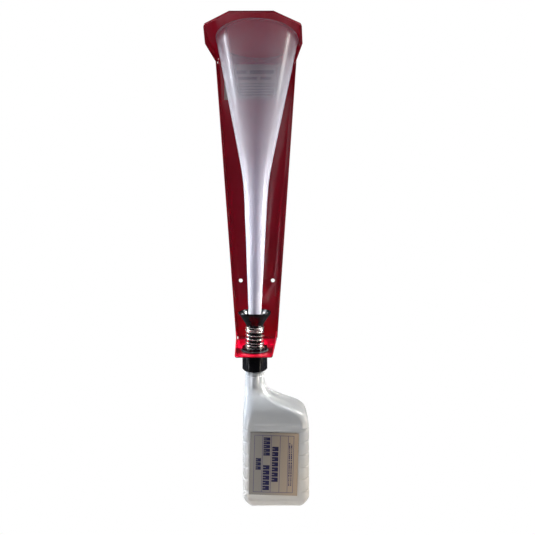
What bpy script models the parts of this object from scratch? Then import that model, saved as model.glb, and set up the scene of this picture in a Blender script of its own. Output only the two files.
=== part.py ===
"""Wall-hung funnel drain station.

A folded sheet-steel bracket holds a long-neck funnel upright between its hood and a
spring-loaded receiver cup. Drips leave the funnel through the cup's hollow stem and the
hollow stud in the shelf, and run into an offset-neck bottle that hangs in a swivel cap.

Frame: the origin is midway between the two wall screw holes, on the rear face of the
bracket. +Z is up, +X is to the right of someone facing the wall, and the front is -Y.
Every dimension below is in millimetres.
"""
import math

import bmesh
import bpy
from mathutils import Matrix, Vector

MM = 0.001          # millimetres to metres
GAP = 0.3           # clearance between pieces that touch

# ---------------------------------------------------------------- driving dimensions
AXIS_Y = -82.0      # vertical axis of the receiver, stud, cap and bottle neck

SHEET = 1.5         # thickness of the steel
FOLD = 3.0          # outside radius of the folds
HOOD_TOP = 399.5
HOOD_FRONT = 163.0  # reach of the hood from the wall
HOOD_FRONT_HALF = 32.0
HOOD_HALVES = (66.0, 71.8, 70.3)    # half widths of its flat at the three stations below
HOOD_SIDE_REAR = 12.0
HOOD_SIDE_DEEP = 92.0
HOOD_SIDE_FRONT = 128.0
HOOD_SIDE_TILT = math.radians(75)
HOOD_SIDE_WIDTHS = (7.0, 11.5, 3.3)     # of the side folds there, past the bend
HOOD_LIP = 4.0      # height of the lip that keeps the funnel's rim in
PLATE_HALF_TOP = 72.8
PLATE_HALF_BOTTOM = 37.0
PLATE_FLANGE = 11.0
PLATE_FLANGE_TOP = 394.5
PLATE_FLANGE_BOTTOM = -101.5
SHELF_TOP = -104.0
SHELF_FRONT = 118.0
SHELF_FRONT_HALF = 29.0
SHELF_FLANGE_START = 12.0           # just in front of the plate's flanges
SHELF_FLANGE_REAR = 15.5
SHELF_FLANGE_FRONT = 4.5
SCREW_SPACING = 58.4
SCREW_HOLE_R = 3.5
RELIEF_R = 1.6

PLATE_LABEL = (110.0, 64.0)
PLATE_LABEL_MID = (-2.9, 360.0)
LABEL_THICK = 0.3

FUNNEL_TOP = 396.5
FUNNEL_TIP = -60.3
FUNNEL_RIM_R = 66.5
FUNNEL_RIM_HEIGHT = 4.0
FUNNEL_RIM_STEP = 1.2
FUNNEL_WALL = 1.5
FUNNEL_LEAN = math.radians(0.65)    # it stands loose in the cup and leans to the right
BOWL_SLOPE = 0.2045     # radius gained for each millimetre of height
BOWL_R, BOWL_R_AT = 26.5, 203.0
SPOUT_SLOPE = 0.045
SPOUT_TIP_R = 9.4
BLEND = 1.95            # softness of the curve between bowl and spout

CUP_TOP = -41.5
CUP_R = 26.25
CUP_WALL = 1.8
CUP_SEAT = -60.6
CUP_BOTTOM = -65.1
CUP_BASE_R = 13.3
DRAIN_HOLE_R = 6.0

TRAVEL = 11.5           # how far the cup goes down
STEM_R = 11.0
STEM_SHOULDER = -97.0
STEM_LOW_R = 8.0
STEM_END = -119.6

WIRE = 1.9
SPRING_OD = 30.0
SPRING_DEAD_TOP, SPRING_OPEN, SPRING_DEAD_BOTTOM = 1.9, 3.6, 1.3
DEAD_PITCH = 2.15

GASKET_R, GASKET_THICK = 22.5, 2.2
NUT_FLATS, NUT_THICK = 40.0, 2.7
STUD_R = 13.0
STUD_BORE_R = 11.4
STUD_HEAD_R, STUD_HEAD_THICK = 14.9, 2.3
STUD_NOSE_R = 12.6
STUD_END = -115.6

SLIP_THICK = 0.8
CAP_FLATS = 36.4
CAP_CORNER_R = 3.0
CAP_ROOF = 2.5
CAP_BOTTOM = -134.5
CAP_BORE_R = 15.4

NECK_R = 15.0
BOTTLE_MOUTH = -114.1
BOTTLE_BOTTOM = -336.0
BOTTLE_WALL = 1.2
BODY_LEFT, BODY_RIGHT = -18.1, 85.4
BODY_HALF_DEPTH = 30.0
BOTTLE_LABEL = (74.5, 96.0)
BOTTLE_LABEL_AT = (30.1, -270.6)
BOTTLE_LABEL_TURN = math.radians(1.8)

SHELF_UNDER = SHELF_TOP - SHEET
NUT_TOP = SHELF_TOP + GAP + GASKET_THICK + GAP + NUT_THICK
STUD_TOP = NUT_TOP - 0.2
CAP_TOP = SHELF_UNDER - GAP - SLIP_THICK - GAP
STUD_HEAD_TOP = CAP_TOP - CAP_ROOF - GAP
STUD_HEAD_UNDER = STUD_HEAD_TOP - STUD_HEAD_THICK


# ---------------------------------------------------------------- helpers
def clear_scene():
    """Remove whatever the scene holds."""
    for old in list(bpy.data.objects):
        bpy.data.objects.remove(old, do_unlink=True)


def collection(name):
    """A new collection in the scene."""
    made = bpy.data.collections.new(name)
    bpy.context.scene.collection.children.link(made)
    return made


clear_scene()
PARTS = collection("funnel_drain_station")
CUTTERS = collection("cutters")


def material(name, colour, roughness, metallic=0.0, alpha=1.0):
    """A Principled material; colour is linear red, green and blue."""
    made = bpy.data.materials.new(name)
    made.use_nodes = True
    shader = made.node_tree.nodes["Principled BSDF"]
    shader.inputs["Base Color"].default_value = (*colour, 1.0)
    shader.inputs["Roughness"].default_value = roughness
    shader.inputs["Metallic"].default_value = metallic
    shader.inputs["Alpha"].default_value = alpha
    made.diffuse_color = (*colour, alpha)
    return made


def guide(name, y, z):
    """An empty on a joint's axis; the pieces that the joint moves are its children."""
    empty = bpy.data.objects.new(name, None)
    empty.location = Vector((0.0, y, z)) * MM
    empty.empty_display_size = 0.02
    PARTS.objects.link(empty)
    return empty


def add(name, bm, look, parent=None, at=(0.0, 0.0, 0.0)):
    """Store a bmesh, built in millimetres about the point at, as a part."""
    bmesh.ops.scale(bm, vec=(MM, MM, MM), verts=bm.verts)
    mesh = bpy.data.meshes.new(name)
    bm.to_mesh(mesh)
    bm.free()
    part = bpy.data.objects.new(name, mesh)
    PARTS.objects.link(part)
    mesh.materials.append(look)
    part.location = Vector(at) * MM
    if parent:
        part.parent = parent
        part.location -= parent.location
    return part


def smooth(part, angle=35):
    """Smooth shading that keeps the real edges sharp."""
    part.data.shade_smooth()
    part.data.set_sharp_from_angle(angle=math.radians(angle))


def turned(name, outline, look, steps=48, parent=None):
    """A ring turned about the vertical axis. The outline is a closed loop of
    (radius, height) points: down the outer side, then up the inner side."""
    bm = bmesh.new()
    points = [bm.verts.new((radius, 0.0, height)) for radius, height in outline]
    for start, end in zip(points, points[1:] + points[:1]):
        bm.edges.new((start, end))
    part = add(name, bm, look, parent, (0.0, AXIS_Y, 0.0))
    turn = part.modifiers.new("Turn", "SCREW")
    turn.steps = turn.render_steps = steps
    turn.merge_threshold = 0.00001
    turn.use_merge_vertices = True
    return part


def washer(name, inner, outer, top, bottom, look, steps=48, parent=None):
    """A plain flat ring."""
    outline = [(outer, top), (outer, bottom), (inner, bottom), (inner, top)]
    return turned(name, outline, look, steps, parent)


def drill(name, radius, centre, length, along="Z", segments=48):
    """A cylinder cutter, centred on a point."""
    bm = bmesh.new()
    bmesh.ops.create_cone(bm, cap_ends=True, segments=segments, radius1=radius * MM,
                          radius2=radius * MM, depth=length * MM)
    if along == "Y":
        bmesh.ops.rotate(bm, matrix=Matrix.Rotation(math.pi / 2, 3, "X"), verts=bm.verts)
    mesh = bpy.data.meshes.new(name)
    bm.to_mesh(mesh)
    bm.free()
    cutter = bpy.data.objects.new(name, mesh)
    cutter.location = Vector(centre) * MM
    cutter.hide_render = True
    cutter.display_type = "WIRE"
    CUTTERS.objects.link(cutter)
    return cutter


def boolean(part, other, operation="DIFFERENCE"):
    """Cut a part with a cutter, or keep what the two share."""
    cut = part.modifiers.new(other.name, "BOOLEAN")
    cut.operation = operation
    cut.solver = "EXACT"
    cut.object = other


# ---------------------------------------------------------------- materials
RED = material("red_powder_coat", (0.30, 0.004, 0.016), 0.22, 0.35)
BLACK = material("black_moulded_plastic", (0.012, 0.012, 0.013), 0.35)
RUBBER = material("black_rubber", (0.02, 0.02, 0.02), 0.75)
NATURAL = material("frosted_polypropylene", (0.70, 0.72, 0.80), 0.3, alpha=0.55)
MILKY = material("natural_polyethylene", (0.66, 0.68, 0.74), 0.35)
STEEL = material("bright_plated_steel", (0.62, 0.61, 0.58), 0.22, 1.0)
NYLON = material("white_nylon", (0.75, 0.73, 0.68), 0.45)
VINYL = material("printed_vinyl", (0.25, 0.22, 0.17), 0.5)


# ---------------------------------------------------------------- bracket
def pull(bm, line, moves):
    """Extrude a line of vertices and shift each new vertex by its move."""
    edges = [bm.edges.get(pair) for pair in zip(line, line[1:])]
    made = bmesh.ops.extrude_edge_only(bm, edges=edges)["geom"]
    fresh = {item for item in made if isinstance(item, bmesh.types.BMVert)}
    moved = []
    for old, move in zip(line, moves):
        new = next(e.other_vert(old) for e in old.link_edges if e.other_vert(old) in fresh)
        new.co = old.co + Vector(move)
        moved.append(new)
    return moved


def flange(bm, line, outs, up, widths, tilt, radius=FOLD, steps=4):
    """Fold a flange off a line of vertices: a bend of the given tilt, then a flat."""
    up = Vector(up)
    outs = [Vector(out) for out in outs]
    for step in range(steps):
        start, end = tilt * step / steps, tilt * (step + 1) / steps
        sideways = radius * (math.sin(end) - math.sin(start))
        upward = radius * (math.cos(start) - math.cos(end))
        line = pull(bm, line, [out * sideways + up * upward for out in outs])
    flat = [out * math.cos(tilt) * width + up * math.sin(tilt) * width
            for out, width in zip(outs, widths)]
    return pull(bm, line, flat)


def plate_half(height):
    """Half width of the tapered back plate at a height."""
    share = (height - SHELF_TOP) / (HOOD_TOP - SHEET - SHELF_TOP)
    return PLATE_HALF_BOTTOM + (PLATE_HALF_TOP - PLATE_HALF_BOTTOM) * share


def shelf_half(depth):
    """Half width of the shelf at a distance from the wall."""
    return PLATE_HALF_BOTTOM + (SHELF_FRONT_HALF - PLATE_HALF_BOTTOM) * depth / SHELF_FRONT


def bracket_rows():
    """Stations along the sheet, from the hood's front to the shelf's front, each a
    (half width, y, z) on the outer skin, without the flanges."""
    rear_half = plate_half(PLATE_FLANGE_TOP) - FOLD
    rows = [(HOOD_FRONT_HALF - 1.0, -(HOOD_FRONT - FOLD), HOOD_TOP)]
    depths = (HOOD_SIDE_FRONT, HOOD_SIDE_DEEP, HOOD_SIDE_REAR)
    rows += [(half, -depth, HOOD_TOP) for half, depth in zip(reversed(HOOD_HALVES), depths)]
    quarter = [math.pi / 2 * step / 4 for step in range(5)]
    rows += [(rear_half, -FOLD + FOLD * math.sin(a), HOOD_TOP - FOLD + FOLD * math.cos(a))
             for a in quarter]
    rows += [(plate_half(z) - FOLD, 0.0, z) for z in (PLATE_FLANGE_TOP, PLATE_FLANGE_BOTTOM)]
    low_half = plate_half(SHELF_TOP) - FOLD
    rows += [(low_half, -FOLD + FOLD * math.cos(a), SHELF_UNDER + FOLD - FOLD * math.sin(a))
             for a in quarter]
    rows += [(shelf_half(depth) - FOLD, -depth, SHELF_UNDER)
             for depth in (SHELF_FLANGE_START, SHELF_FRONT)]
    return rows


def bracket():
    """Back plate, hood and shelf folded from one tapered sheet."""
    rows = bracket_rows()
    bm = bmesh.new()
    half, y, z = rows[0]
    line = [bm.verts.new((-half, y, z)), bm.verts.new((half, y, z))]
    bm.edges.new(line)
    left, right = [line[0]], [line[1]]
    for (half, y, z), (old_half, old_y, old_z) in zip(rows[1:], rows):
        step = Vector((0.0, y - old_y, z - old_z))
        wider = Vector((half - old_half, 0.0, 0.0))
        line = pull(bm, line, [step - wider, step + wider])
        left.append(line[0])
        right.append(line[1])
    forward, up, down = (0.0, -1.0, 0.0), (0.0, 0.0, 1.0), (0.0, 0.0, -1.0)
    hood, plate, shelf = slice(1, 4), slice(9, 11), slice(16, 18)
    for side, column in ((-1, left), (1, right)):
        out = (side, 0.0, 0.0)
        flange(bm, column[hood], [out] * 3, down,
               tuple(reversed(HOOD_SIDE_WIDTHS)), HOOD_SIDE_TILT)
        flange(bm, column[plate], [out] * 2, forward, [PLATE_FLANGE - FOLD] * 2, math.pi / 2)
        flange(bm, column[shelf], [out] * 2, up,
               [SHELF_FLANGE_REAR - FOLD, SHELF_FLANGE_FRONT - FOLD], math.pi / 2)
    run, rise = HOOD_HALVES[-1] - rows[0][0], HOOD_FRONT - FOLD - HOOD_SIDE_FRONT
    slant = Vector((rise, -run, 0.0)).normalized()
    front = Vector((0.0, -1.0, 0.0))
    mitre = (slant + front) / (1.0 + slant.dot(front))
    mirrored = Vector((-1.0, 1.0, 1.0))
    outs = [slant * mirrored, mitre * mirrored, mitre, slant]
    flange(bm, [left[1], left[0], right[0], right[1]], outs, down,
           [HOOD_LIP - FOLD] * 4, math.pi / 2)
    bm.normal_update()
    back = max(bm.faces, key=lambda face: face.calc_area())
    if back.normal.y < 0.0:
        bmesh.ops.reverse_faces(bm, faces=bm.faces)
    part = add("bracket", bm, RED)
    wall = part.modifiers.new("Sheet", "SOLIDIFY")
    wall.thickness = SHEET * MM
    wall.offset = -1.0
    wall.use_even_offset = True
    for side in (-1, 1):
        screw = (side * SCREW_SPACING / 2, 0.0, 0.0)
        boolean(part, drill(f"screw_hole_{side}", SCREW_HOLE_R, screw, 12.0, "Y", 32))
        relief = (side * (HOOD_HALVES[0] + 0.5), -HOOD_SIDE_REAR, HOOD_TOP)
        boolean(part, drill(f"relief_{side}", RELIEF_R, relief, 12.0, "Z", 16))
    boolean(part, drill("stud_hole", STUD_R + GAP, (0.0, AXIS_Y, SHELF_UNDER), 12.0))
    smooth(part)


def bracket_label():
    """The decal high on the back plate."""
    bm = bmesh.new()
    bmesh.ops.create_cube(bm, size=1.0)
    bmesh.ops.scale(bm, vec=(PLATE_LABEL[0], LABEL_THICK, PLATE_LABEL[1]), verts=bm.verts)
    y = -(SHEET + GAP + LABEL_THICK / 2)
    add("bracket_label", bm, VINYL, at=(PLATE_LABEL_MID[0], y, PLATE_LABEL_MID[1]))


# ---------------------------------------------------------------- funnel
def funnel_radius(height):
    """Outer radius: the spout's taper, joined to the bowl's cone by a soft curve."""
    spout = SPOUT_TIP_R + SPOUT_SLOPE * (height - FUNNEL_TIP)
    bowl = BOWL_R + BOWL_SLOPE * (height - BOWL_R_AT)
    return spout + BLEND * math.log1p(math.exp((bowl - spout) / BLEND))


def funnel():
    """Long-neck funnel with a stepped rim and a straight-cut spout."""
    step_at = FUNNEL_TOP - FUNNEL_RIM_HEIGHT
    heights = [step_at, 300.0, 215.0, 195.0, 178.0, 162.0, 145.0, 115.0, FUNNEL_TIP]
    outer = [(funnel_radius(z), z) for z in heights]
    rim = [(FUNNEL_RIM_R, FUNNEL_TOP), (FUNNEL_RIM_R, step_at)]
    inner = [(radius - FUNNEL_WALL, z) for radius, z in reversed(outer)]
    lip = [(FUNNEL_RIM_R - FUNNEL_WALL, step_at + FUNNEL_RIM_STEP),
           (FUNNEL_RIM_R - FUNNEL_WALL, FUNNEL_TOP)]
    hinge = guide("funnel_tilt", AXIS_Y - SPOUT_TIP_R, FUNNEL_TIP)
    leaning = turned("funnel", rim + outer + inner + lip, NATURAL, 56, hinge)
    leaning.rotation_euler.y = FUNNEL_LEAN
    leaning.location.x -= math.sin(FUNNEL_LEAN) * FUNNEL_TIP * MM     # its tip stays put
    smooth(leaning)


# ---------------------------------------------------------------- sprung receiver
def plunger():
    """The receiver cup, its drain stem and the pieces that keep the stem in."""
    travel = guide("cup_travel", AXIS_Y, CUP_BOTTOM)
    cup = [(CUP_R - 0.6, CUP_TOP), (CUP_R, CUP_TOP - 0.6), (CUP_R, CUP_TOP - 2.2),
           (23.6, -48.0), (19.6, -53.6), (16.4, -58.4), (CUP_BASE_R + 0.4, -63.0),
           (CUP_BASE_R, CUP_BOTTOM), (STEM_R - 1.7, CUP_BOTTOM), (STEM_R - 1.7, -62.0),
           (DRAIN_HOLE_R, -62.0), (DRAIN_HOLE_R, CUP_SEAT), (12.2, CUP_SEAT),
           (14.6, -58.0), (17.8, -53.0), (21.8, -47.4), (CUP_R - CUP_WALL, CUP_TOP)]
    smooth(turned("receiver_cup", cup, BLACK, 48, travel), 28)
    spigot = STEM_R - 2.0
    stem = [(spigot, -62.0 - GAP), (spigot, CUP_BOTTOM - GAP), (STEM_R, CUP_BOTTOM - GAP),
            (STEM_R, STEM_SHOULDER), (STEM_LOW_R, STEM_SHOULDER), (STEM_LOW_R, STEM_END),
            (DRAIN_HOLE_R, STEM_END), (DRAIN_HOLE_R, -62.0 - GAP)]
    smooth(turned("drain_stem", stem, BLACK, 36, travel))
    spring_top = CUP_BOTTOM - GAP
    washer("spring_top_washer", STEM_R + 0.6, 15.2, spring_top, spring_top - 1.0, STEEL,
           36, travel)
    stop_top = STUD_END - GAP
    washer("stop_washer", STEM_LOW_R + GAP, 11.6, stop_top, stop_top - 1.0, STEEL, 32, travel)
    ring_top = stop_top - 1.0 - GAP
    washer("retaining_ring", STEM_LOW_R + GAP, 10.4, ring_top, ring_top - 1.2, STEEL, 32,
           travel)


def return_spring():
    """Compression spring with closed ends, between the two spring washers."""
    top = CUP_BOTTOM - GAP - 1.0 - GAP - WIRE / 2
    bottom = NUT_TOP + GAP + 0.5 + GAP + WIRE / 2
    turns = SPRING_DEAD_TOP + SPRING_OPEN + SPRING_DEAD_BOTTOM
    dead = DEAD_PITCH * (SPRING_DEAD_TOP + SPRING_DEAD_BOTTOM)
    open_pitch = (top - bottom - dead) / SPRING_OPEN
    radius = (SPRING_OD - WIRE) / 2
    per_turn = 18
    count = round(turns * per_turn)
    curve = bpy.data.curves.new("return_spring", "CURVE")
    curve.dimensions = "3D"
    curve.bevel_depth = WIRE / 2 * MM
    curve.bevel_resolution = 2
    curve.use_fill_caps = True
    line = curve.splines.new("POLY")
    line.points.add(count)
    for index, point in enumerate(line.points):
        turn = index / per_turn
        opened = min(max(turn - SPRING_DEAD_TOP, 0.0), SPRING_OPEN)
        height = top - DEAD_PITCH * (turn - opened) - open_pitch * opened
        angle = math.tau * turn - math.pi / 2
        point.co = (radius * math.cos(angle) * MM, radius * math.sin(angle) * MM,
                    height * MM, 1.0)
    spring = bpy.data.objects.new("return_spring", curve)
    spring.location = (0.0, AXIS_Y * MM, 0.0)
    curve.materials.append(STEEL)
    PARTS.objects.link(spring)


# ---------------------------------------------------------------- shelf fitting
def prism(name, sides, flats, top, bottom, corner, look, parent=None):
    """A polygonal nut blank with a flat to the front and rounded upright edges."""
    bm = bmesh.new()
    radius = flats / 2 / math.cos(math.pi / sides)
    bmesh.ops.create_cone(bm, cap_ends=True, segments=sides, radius1=radius,
                          radius2=radius, depth=top - bottom)
    turn = Matrix.Rotation(math.pi / sides, 3, "Z")
    bmesh.ops.rotate(bm, matrix=turn, verts=bm.verts)
    upright = [e for e in bm.edges if abs(e.verts[0].co.z - e.verts[1].co.z) > 0.1]
    bmesh.ops.bevel(bm, geom=upright, offset=corner, segments=3, affect="EDGES",
                    profile=0.5)
    bmesh.ops.translate(bm, vec=(0.0, 0.0, (top + bottom) / 2), verts=bm.verts)
    return add(name, bm, look, parent, (0.0, AXIS_Y, 0.0))


def rounded_ends(name, waist, end, top, bottom, run):
    """A turned cutter that leaves a chamfer on the corners of a nut blank."""
    outline = [(end, top + 0.02), (waist, top - run), (waist, bottom + run),
               (end, bottom - 0.02), (0.0, bottom - 0.02), (0.0, top + 0.02)]
    blank = turned(name, outline, BLACK, 48)
    PARTS.objects.unlink(blank)
    CUTTERS.objects.link(blank)
    blank.hide_render = True
    blank.display_type = "WIRE"
    return blank


def shelf_fitting():
    """Gasket, lock nut, hollow stud and the stem's guide, fixed to the shelf."""
    gasket_top = SHELF_TOP + GAP + GASKET_THICK
    washer("shelf_gasket", STUD_R + GAP, GASKET_R, gasket_top, SHELF_TOP + GAP, RUBBER)
    nut = prism("lock_nut", 8, NUT_FLATS, NUT_TOP, gasket_top + GAP, 1.5, BLACK)
    boolean(nut, drill("nut_bore", STUD_R + GAP, (0.0, AXIS_Y, NUT_TOP), 20.0))
    shim_top = NUT_TOP + GAP + 0.5
    washer("spring_bottom_washer", STEM_R + 0.6, 15.6, shim_top, NUT_TOP + GAP, STEEL, 36)
    stud = [(STUD_R, STUD_TOP), (STUD_R, STUD_HEAD_TOP), (STUD_HEAD_R, STUD_HEAD_TOP),
            (STUD_HEAD_R, STUD_HEAD_UNDER), (STUD_NOSE_R, STUD_HEAD_UNDER),
            (STUD_NOSE_R, STUD_END), (STEM_LOW_R + 1.0, STUD_END),
            (STEM_LOW_R + 1.0, STUD_END + 1.0), (STUD_BORE_R, STUD_END + 1.0),
            (STUD_BORE_R, STUD_TOP)]
    smooth(turned("hollow_stud", stud, BLACK, 40))
    bush_bottom = STUD_END + 1.0 + GAP
    bush_top = bush_bottom + 3.6
    washer("guide_bush", STEM_LOW_R + GAP, STUD_BORE_R - GAP, bush_top, bush_bottom, NYLON, 32)
    ring_r, wire_r = (STEM_LOW_R + STUD_BORE_R) / 2, 0.85
    ring_z = bush_top + GAP + wire_r
    ring = [(ring_r + wire_r * math.cos(a), ring_z + wire_r * math.sin(a))
            for a in (math.pi / 2 - math.tau * step / 10 for step in range(10))]
    smooth(turned("stem_seal", ring, RUBBER, 32), 60)
    slip_top = SHELF_UNDER - GAP
    washer("slip_washer", STUD_R + GAP, 16.4, slip_top, slip_top - SLIP_THICK, NYLON, 40)


# ---------------------------------------------------------------- cap and bottle
def swivel_cap():
    """Hexagonal cap that turns on the stud's head, and its sealing liner."""
    turn = guide("cap_turn", AXIS_Y, CAP_BOTTOM)
    cap = prism("swivel_cap", 6, CAP_FLATS, CAP_TOP, CAP_BOTTOM, CAP_CORNER_R, BLACK, turn)
    ends = rounded_ends("cap_corners", CAP_FLATS * 0.6, CAP_FLATS / 2 - 0.2, CAP_TOP,
                        CAP_BOTTOM, 3.0)
    boolean(cap, ends, "INTERSECT")
    roof = CAP_TOP - CAP_ROOF
    boolean(cap, drill("cap_eye", STUD_R + 0.4, (0.0, AXIS_Y, CAP_TOP), 20.0))
    low = CAP_BOTTOM - 5.0
    boolean(cap, drill("cap_bore", CAP_BORE_R, (0.0, AXIS_Y, (roof + low) / 2), roof - low))
    smooth(cap, 25)
    liner_top = STUD_HEAD_UNDER - GAP
    washer("cap_liner", STUD_NOSE_R + GAP, CAP_BORE_R - GAP, liner_top,
           BOTTLE_MOUTH + GAP, RUBBER, 36, turn)


def rounded_ring(bm, height, left, right, half_depth, corner, per_corner=8):
    """One horizontal section of the bottle: a rectangle with round corners."""
    points = []
    centres = ((right - corner, half_depth - corner, 0.0),
               (left + corner, half_depth - corner, math.pi / 2),
               (left + corner, corner - half_depth, math.pi),
               (right - corner, corner - half_depth, math.pi * 1.5))
    for x, y, start in centres:
        for step in range(per_corner):
            angle = start + math.pi / 2 * (step + 0.5) / per_corner
            points.append(bm.verts.new((x + corner * math.cos(angle),
                                        y + corner * math.sin(angle), height)))
    return points


def bottle_sections():
    """Sections from the mouth to the base: height, left, right, half depth, corner."""
    round_part = [(BOTTLE_MOUTH, NECK_R), (-136.5, NECK_R), (-137.3, NECK_R + 0.6),
                  (-140.6, NECK_R + 0.6), (-141.4, NECK_R - 0.1), (-153.0, NECK_R - 0.1)]
    sections = [(z, -r, r, r, r * 0.999) for z, r in round_part]
    sections += [(-160.5, -15.4, 17.0, 15.6, 15.4), (-168.5, -15.9, 23.5, 18.5, 17.0),
                 (-175.0, -16.3, 34.0, 22.0, 18.0), (-183.0, -16.8, 51.5, 25.5, 18.0),
                 (-190.0, -17.2, 69.0, 27.6, 16.5), (-196.0, -17.5, 77.8, 28.7, 14.5),
                 (-206.0, -17.8, 83.2, 29.6, 12.5)]
    body = (BODY_LEFT, BODY_RIGHT, BODY_HALF_DEPTH, 11.0)
    sections += [(-220.0, *body), (BOTTLE_BOTTOM + 10.5, *body)]
    for up, inset in ((8.5, 0.8), (1.6, 6.6), (0.0, 8.6)):
        sections.append((BOTTLE_BOTTOM + up, BODY_LEFT + inset, BODY_RIGHT - inset,
                         BODY_HALF_DEPTH - inset * 0.3, 11.0 - inset * 0.5))
    return sections


def bottle():
    """Blow-moulded one-quart bottle with its neck to one side, and its label."""
    travel = guide("bottle_travel", AXIS_Y, BOTTLE_MOUTH)
    bm = bmesh.new()
    rings = [rounded_ring(bm, *section) for section in bottle_sections()]
    for upper, lower in zip(rings, rings[1:]):
        for index, corner in enumerate(upper):
            after = (index + 1) % len(upper)
            bm.faces.new((corner, lower[index], lower[after], upper[after]))
    bm.faces.new(list(reversed(rings[-1])))
    bmesh.ops.recalc_face_normals(bm, faces=bm.faces)
    part = add("bottle", bm, MILKY, travel, (0.0, AXIS_Y, 0.0))
    wall = part.modifiers.new("Wall", "SOLIDIFY")
    wall.thickness = BOTTLE_WALL * MM
    wall.offset = -1.0
    wall.use_even_offset = True
    smooth(part, 40)
    bm = bmesh.new()
    bmesh.ops.create_cube(bm, size=1.0)
    bmesh.ops.scale(bm, vec=(BOTTLE_LABEL[0], LABEL_THICK, BOTTLE_LABEL[1]), verts=bm.verts)
    bmesh.ops.rotate(bm, matrix=Matrix.Rotation(BOTTLE_LABEL_TURN, 3, "Y"), verts=bm.verts)
    face = AXIS_Y - BODY_HALF_DEPTH - GAP - LABEL_THICK / 2
    add("bottle_label", bm, VINYL, travel, (BOTTLE_LABEL_AT[0], face, BOTTLE_LABEL_AT[1]))


bracket()
bracket_label()
funnel()
plunger()
return_spring()
shelf_fitting()
swivel_cap()
bottle()
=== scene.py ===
# %% [markdown]
# # A wall-hung funnel drain station
#
# The object is a workshop helper: a folded steel bracket keeps a long-neck funnel
# upright, a sprung cup presses the funnel up under a hood, and the last drips run
# through a hollow stem into a bottle that is screwed up under the shelf.
#
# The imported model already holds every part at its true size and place. This lesson
# gives each part its surface: some parts only need a material, others are modelled
# again with rounder edges, and they then stand for the plain solid.

# %% Load the frame
import math

import bpy
import numpy as np
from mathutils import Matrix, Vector


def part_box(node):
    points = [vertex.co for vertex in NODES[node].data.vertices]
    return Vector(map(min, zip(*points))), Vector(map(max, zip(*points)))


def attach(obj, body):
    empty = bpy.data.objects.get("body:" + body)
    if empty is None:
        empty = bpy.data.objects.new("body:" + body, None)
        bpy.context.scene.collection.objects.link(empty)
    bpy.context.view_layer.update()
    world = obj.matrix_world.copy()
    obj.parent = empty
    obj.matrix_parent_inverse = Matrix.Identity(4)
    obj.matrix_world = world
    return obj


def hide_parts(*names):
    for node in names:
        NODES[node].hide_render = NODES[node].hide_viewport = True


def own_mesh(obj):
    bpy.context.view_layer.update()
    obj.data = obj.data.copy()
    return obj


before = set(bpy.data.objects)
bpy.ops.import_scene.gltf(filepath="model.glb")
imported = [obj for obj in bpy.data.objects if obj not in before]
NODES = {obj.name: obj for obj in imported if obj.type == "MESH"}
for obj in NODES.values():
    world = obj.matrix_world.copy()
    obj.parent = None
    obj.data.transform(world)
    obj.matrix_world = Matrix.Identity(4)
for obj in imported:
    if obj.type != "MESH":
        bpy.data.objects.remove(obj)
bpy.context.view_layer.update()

MM = 0.001

# %% [markdown]
# ## Measuring from the frame
#
# A part's box gives its lowest and highest corner, so the neck axis is the middle of
# the gasket, and the funnel, cup and spring take their ends from their own parts. The
# outlines between those ends, and the bottle's, are tables that follow the parts.

# %% Key places
gasket_low, gasket_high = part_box("shelf_gasket")
AXIS = Vector(((gasket_low.x + gasket_high.x) / 2,
               (gasket_low.y + gasket_high.y) / 2, 0.0))
print("neck axis, mm:", [round(value / MM, 2) for value in AXIS[:2]])


# %% [markdown]
# ## Small tools for modelling
#
# An operator works on whatever is selected, so every step starts by clearing the
# selection and naming the one object it is for.

# %% Selection, modifiers and shading
MERGE = 1e-6                                  # points closer than this are one point


def only(piece):
    """Make a piece the one selected and active object."""
    bpy.ops.object.select_all(action="DESELECT")
    piece.select_set(True)
    bpy.context.view_layer.objects.active = piece


def edit_all():
    """Enter edit mode with everything selected."""
    bpy.ops.object.mode_set(mode="EDIT")
    bpy.ops.mesh.select_all(action="SELECT")


def leave_edit():
    """Go back to object mode."""
    bpy.ops.object.mode_set(mode="OBJECT")


def smooth_below(piece, angle):
    """Shade smooth across edges flatter than an angle in degrees."""
    only(piece)
    bpy.ops.object.shade_smooth_by_angle(angle=math.radians(angle))


def modify(piece, kind, **settings):
    """Add a modifier with its settings and apply it."""
    only(piece)
    modifier = piece.modifiers.new(kind.title(), kind)
    for key, value in settings.items():
        setattr(modifier, key, value)
    bpy.ops.object.modifier_apply(modifier=modifier.name)


def soften(piece, width, segments=3, angle=30):
    """Round the sharp edges a little, then shade smooth between what stays sharp."""
    modify(piece, "BEVEL", width=width, segments=segments, limit_method="ANGLE",
           angle_limit=math.radians(angle), harden_normals=False)
    smooth_below(piece, angle)


def settle(piece):
    """Move the piece's place into its mesh, so that its object is at the origin."""
    only(piece)
    bpy.ops.object.transform_apply(location=True, rotation=True, scale=True)


def wear(piece, body, material, slot, *stands_for):
    """Give a finished piece its body, its material and the parts it stands for."""
    piece.data.materials.clear()
    piece.data.materials.append(material)
    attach(piece, body)
    if stands_for:
        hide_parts(*stands_for)
    print(piece.name, "faces:", len(piece.data.polygons))


# %% [markdown]
# ## Colours and nodes
#
# Paint and plastic colours are written as the hex values a colour picker shows.
# Shaders work with linear light, so one function converts them. A second function
# adds a shader node, sets its values and makes its links in one line, and a few more
# stand for the small groups of nodes that every material here uses.

# %% Colour and node helpers
def linear(hex_colour):
    """An sRGB hex colour as linear red, green, blue and alpha."""
    values = [int(hex_colour[i:i + 2], 16) / 255 for i in (1, 3, 5)]
    return (*(v / 12.92 if v <= 0.04045 else ((v + 0.055) / 1.055) ** 2.4
              for v in values), 1.0)


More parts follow.
